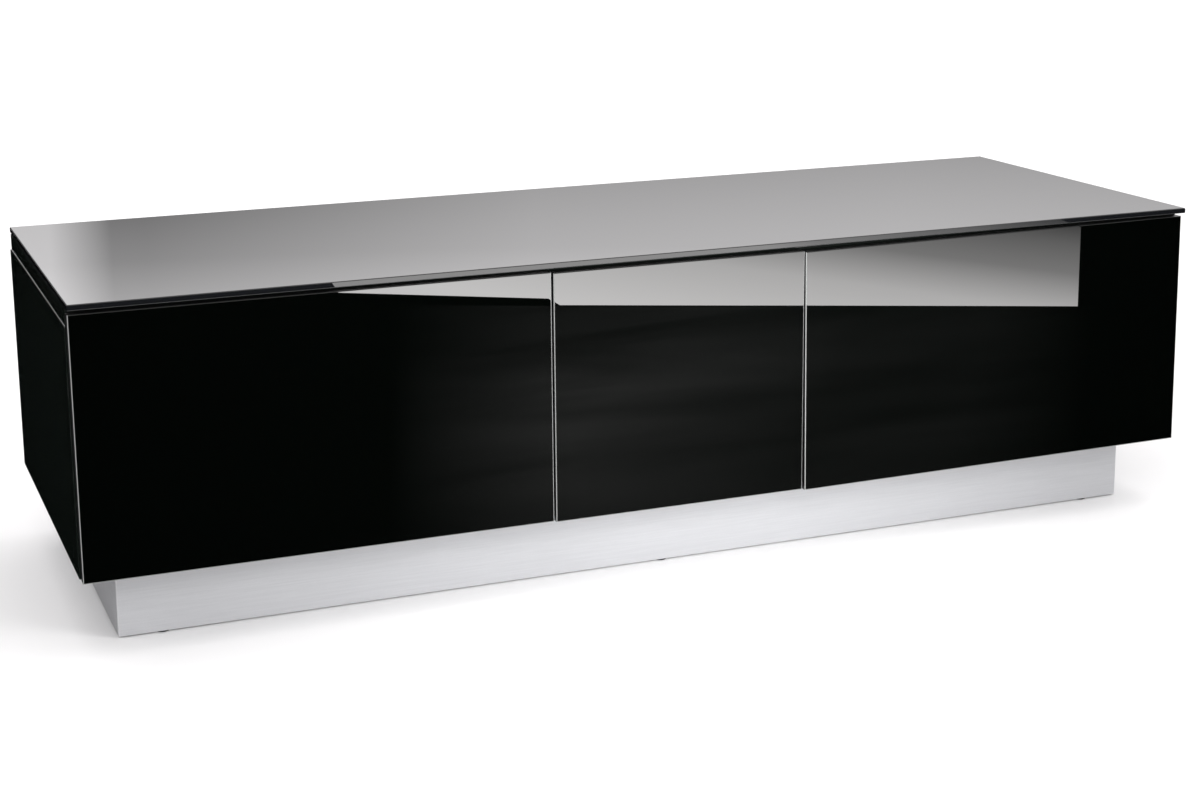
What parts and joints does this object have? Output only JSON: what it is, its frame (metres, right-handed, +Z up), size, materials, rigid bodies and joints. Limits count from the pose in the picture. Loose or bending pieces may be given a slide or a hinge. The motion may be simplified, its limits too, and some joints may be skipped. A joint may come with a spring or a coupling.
{
  "type": "media cabinet",
  "caption": "Low media cabinet with a black glass top, side-hung dark glass doors, a glass-fronted drawer with push latches, and a recessed silver plinth.",
  "frame": {"origin": "on the floor under the middle of the cabinet's box", "axes": "+X to the right as seen from the front, +Y towards the back panel, +Z up"},
  "size_m": [1.25, 0.436, 0.353],
  "materials": {
    "top_glass": "polished black-backed float glass, ground edges",
    "front_glass": "polished dark tinted glass, ground edges",
    "black_gloss": "black gloss lacquer on board",
    "black_board": "black melamine-faced board, fine grain",
    "front_frame_board": "black melamine-faced board",
    "drawer_board": "dark grey foil-wrapped board",
    "hardboard": "black painted hardboard",
    "silver_foil": "satin aluminium-effect foil on board",
    "raw_wood": "bare beech and pine",
    "zinc_steel": "bright zinc plate",
    "nickel_steel": "satin nickel plate",
    "runner_steel": "zinc-plated rolled steel",
    "black_screws": "black oxide",
    "black_plastic": "fine satin moulding",
    "plunger_plastic": "grey acetal",
    "strike_steel": "nickel plate",
    "clear_silicone": "translucent silicone"
  },
  "bodies": {
    "cabinet": {"glass_top": "top_glass", "top_bond_discs": "clear_silicone", "sub_top": "black_gloss", "side_panel_left": "black_gloss", "side_panel_right": "black_gloss", "divider_left": "black_board", "divider_right": "black_board", "bottom_panel": "black_board", "back_panel": "hardboard", "back_panel_screws": "black_screws", "cable_grommets": "black_plastic", "plinth_front": "silver_foil", "plinth_back": "silver_foil", "plinth_end_left": "silver_foil", "plinth_end_right": "silver_foil", "plinth_brace": "silver_foil", "plinth_corner_blocks": "raw_wood", "plinth_screws": "black_screws", "floor_glides": "black_plastic", "cam_locks": "zinc_steel", "cam_bolts": "zinc_steel", "dowels": "raw_wood", "divider_screws": "black_screws", "shelf_left": "black_board", "shelf_right": "black_board", "shelf_pins": "zinc_steel", "front_bumpers": "clear_silicone", "hinge_plates": "nickel_steel", "hinge_arms": "nickel_steel", "hinge_plate_screws": "zinc_steel", "hinge_arm_pins": "nickel_steel", "latch_housings": "black_plastic", "runner_cabinet_rails": "runner_steel"},
    "left_door": {"left_door_glass": "front_glass", "left_door_frame": "front_frame_board", "left_hinge_cups": "nickel_steel", "left_cup_pins": "nickel_steel", "left_cup_screws": "zinc_steel", "left_strike_plate": "strike_steel"},
    "right_door": {"right_door_glass": "front_glass", "right_door_frame": "front_frame_board", "right_hinge_cups": "nickel_steel", "right_cup_pins": "nickel_steel", "right_cup_screws": "zinc_steel", "right_strike_plate": "strike_steel"},
    "left_links": {"left_hinge_links": "nickel_steel"},
    "right_links": {"right_hinge_links": "nickel_steel"},
    "drawer": {"drawer_front_glass": "front_glass", "drawer_front_panel": "front_frame_board", "drawer_inner_front": "drawer_board", "drawer_side_left": "drawer_board", "drawer_side_right": "drawer_board", "drawer_back": "drawer_board", "drawer_bottom": "drawer_board", "runner_drawer_rails": "runner_steel", "drawer_strike_plate": "strike_steel"},
    "runner_middles": {"runner_middle_rails": "runner_steel"},
    "left_plunger": {"left_latch_plunger": "plunger_plastic"},
    "right_plunger": {"right_latch_plunger": "plunger_plastic"},
    "drawer_plunger": {"drawer_latch_plunger": "plunger_plastic"}
  },
  "joints": [
    {"name": "left_link_swing", "type": "hinge", "parent": "cabinet", "child": "left_links", "pos_m": [-0.601, -0.2052, 0.2109], "axis": [0, 0, 1], "range_deg": [0, 47.5]},
    {"name": "left_door_swing", "type": "hinge", "parent": "left_links", "child": "left_door", "pos_m": [-0.6146, -0.2028, 0.2109], "axis": [0, 0, -1], "range_deg": [0, 142.5]},
    {"name": "right_link_swing", "type": "hinge", "parent": "cabinet", "child": "right_links", "pos_m": [0.601, -0.2052, 0.2109], "axis": [0, 0, -1], "range_deg": [0, 47.5]},
    {"name": "right_door_swing", "type": "hinge", "parent": "right_links", "child": "right_door", "pos_m": [0.6146, -0.2028, 0.2109], "axis": [0, 0, 1], "range_deg": [0, 142.5]},
    {"name": "drawer_slide", "type": "slide", "parent": "cabinet", "child": "drawer", "axis": [0, -1, 0], "range_m": [0, 0.34]},
    {"name": "runner_middle_slide", "type": "slide", "parent": "cabinet", "child": "runner_middles", "axis": [0, -1, 0], "range_m": [0, 0.17]},
    {"name": "left_plunger_push", "type": "slide", "parent": "cabinet", "child": "left_plunger", "axis": [0, -1, 0], "range_m": [0, 0.02]},
    {"name": "right_plunger_push", "type": "slide", "parent": "cabinet", "child": "right_plunger", "axis": [0, -1, 0], "range_m": [0, 0.02]},
    {"name": "drawer_plunger_push", "type": "slide", "parent": "cabinet", "child": "drawer_plunger", "axis": [0, -1, 0], "range_m": [0, 0.02]}
  ],
  "couplings": [
    {"joint": "left_link_swing", "follows": "left_door_swing", "ratio": 0.33333},
    {"joint": "right_link_swing", "follows": "right_door_swing", "ratio": 0.33333},
    {"joint": "runner_middle_slide", "follows": "drawer_slide", "ratio": 0.5},
    {"joint": "left_plunger_push", "follows": "left_door_swing", "m_per_rad": 0.0080415},
    {"joint": "right_plunger_push", "follows": "right_door_swing", "m_per_rad": 0.0080415},
    {"joint": "drawer_plunger_push", "follows": "drawer_slide", "ratio": 0.058824}
  ]
}
